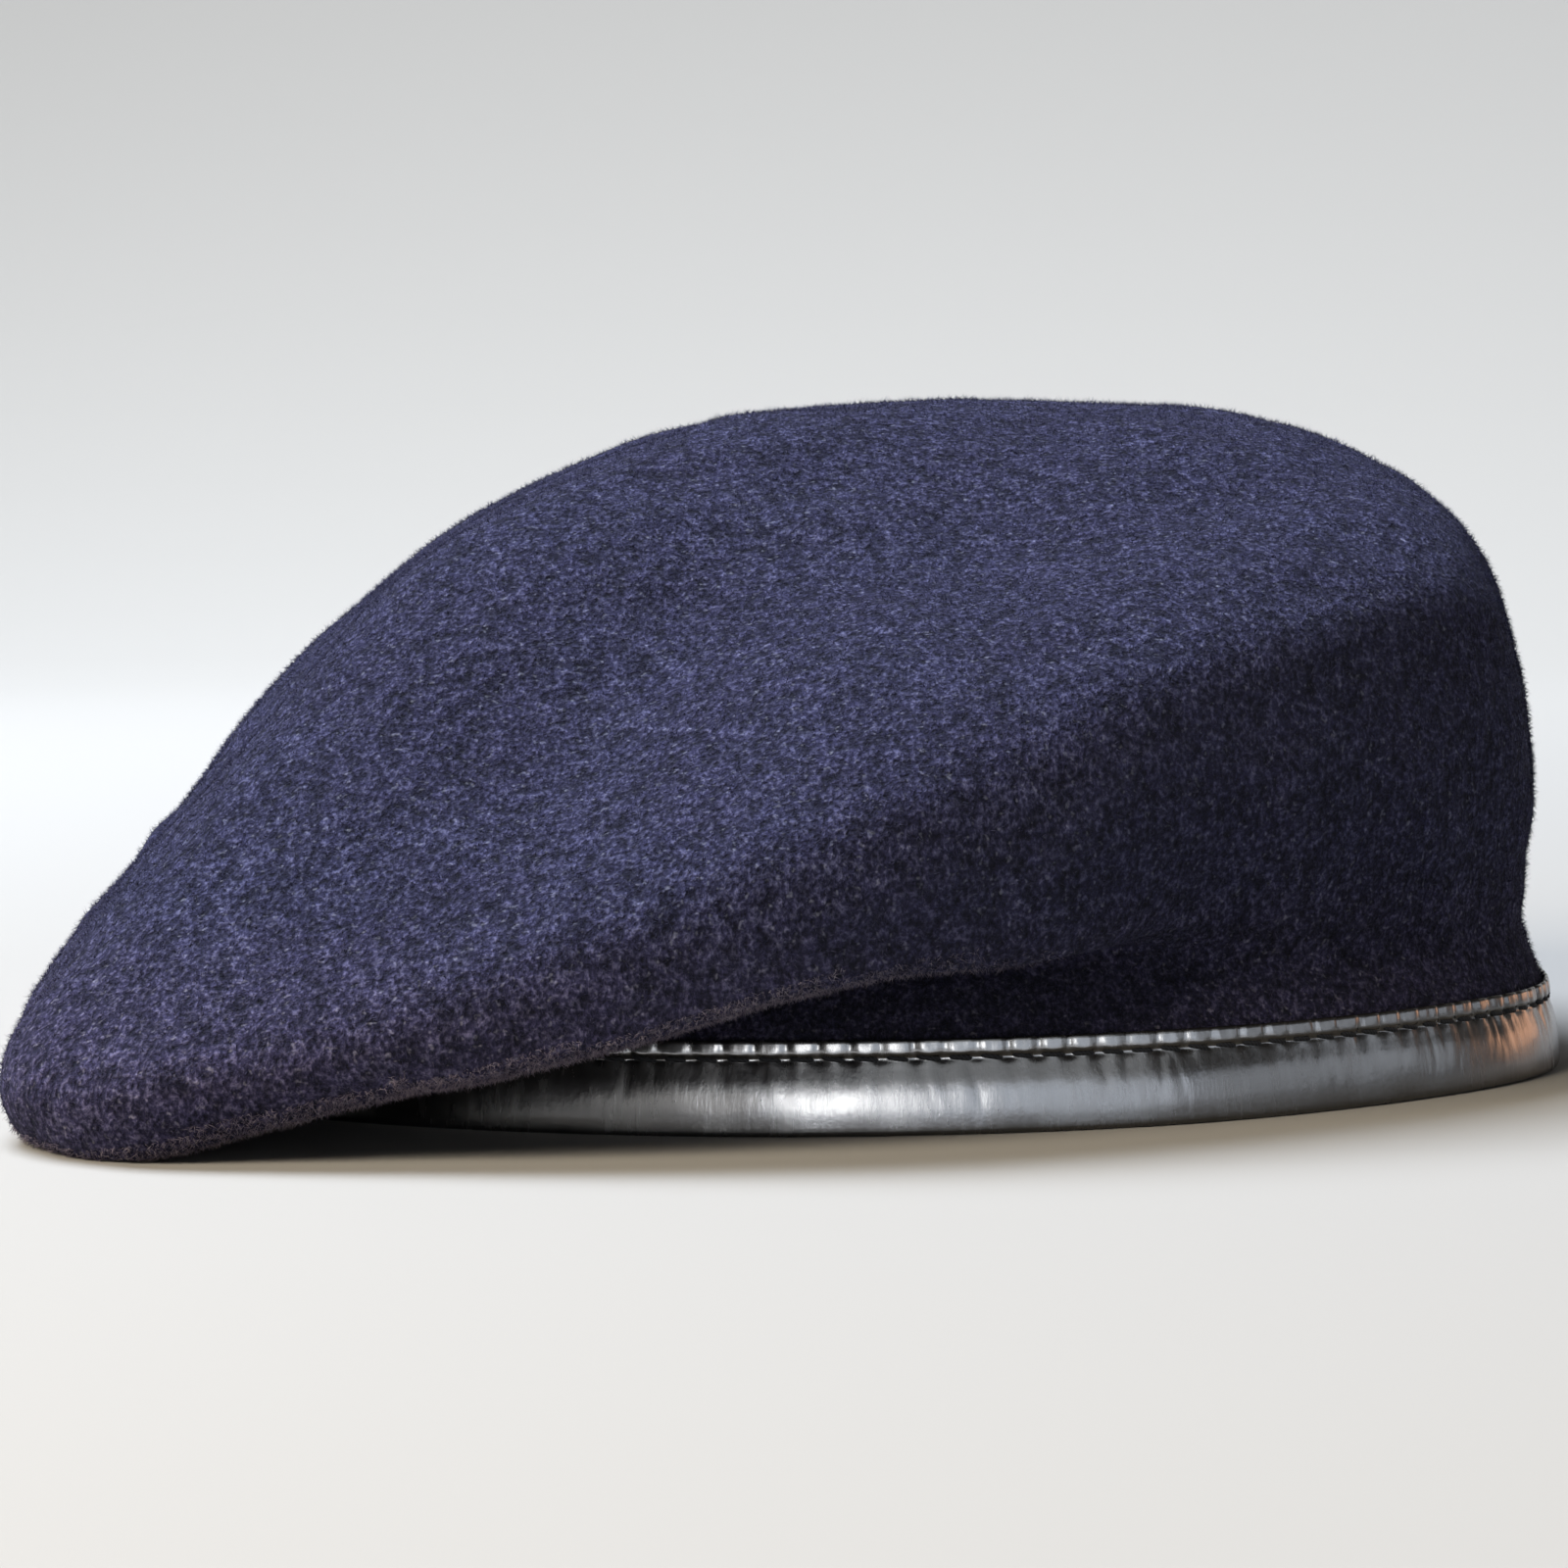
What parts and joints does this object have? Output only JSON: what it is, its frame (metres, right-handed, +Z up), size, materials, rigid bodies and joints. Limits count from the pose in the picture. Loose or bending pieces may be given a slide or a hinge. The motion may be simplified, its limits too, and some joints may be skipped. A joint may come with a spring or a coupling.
{
  "type": "military beret",
  "caption": "Soft felt beret pulled down over one side, hollow, with a folded leather headband round its mouth.",
  "frame": {"origin": "on the resting surface, below the middle of the beret's box", "axes": "+Z up, +X towards the wearer's front, -Y towards the wearer's right, where the crown is pulled down"},
  "size_m": [0.2086, 0.208, 0.0937],
  "materials": {
    "felt": "dark navy wool felt with short nap and paler flecks",
    "leather": "glossy black leather, finely creased and stitched"
  },
  "bodies": {
    "root": {"crown": "felt", "headband": "leather"}
  },
  "joints": []
}
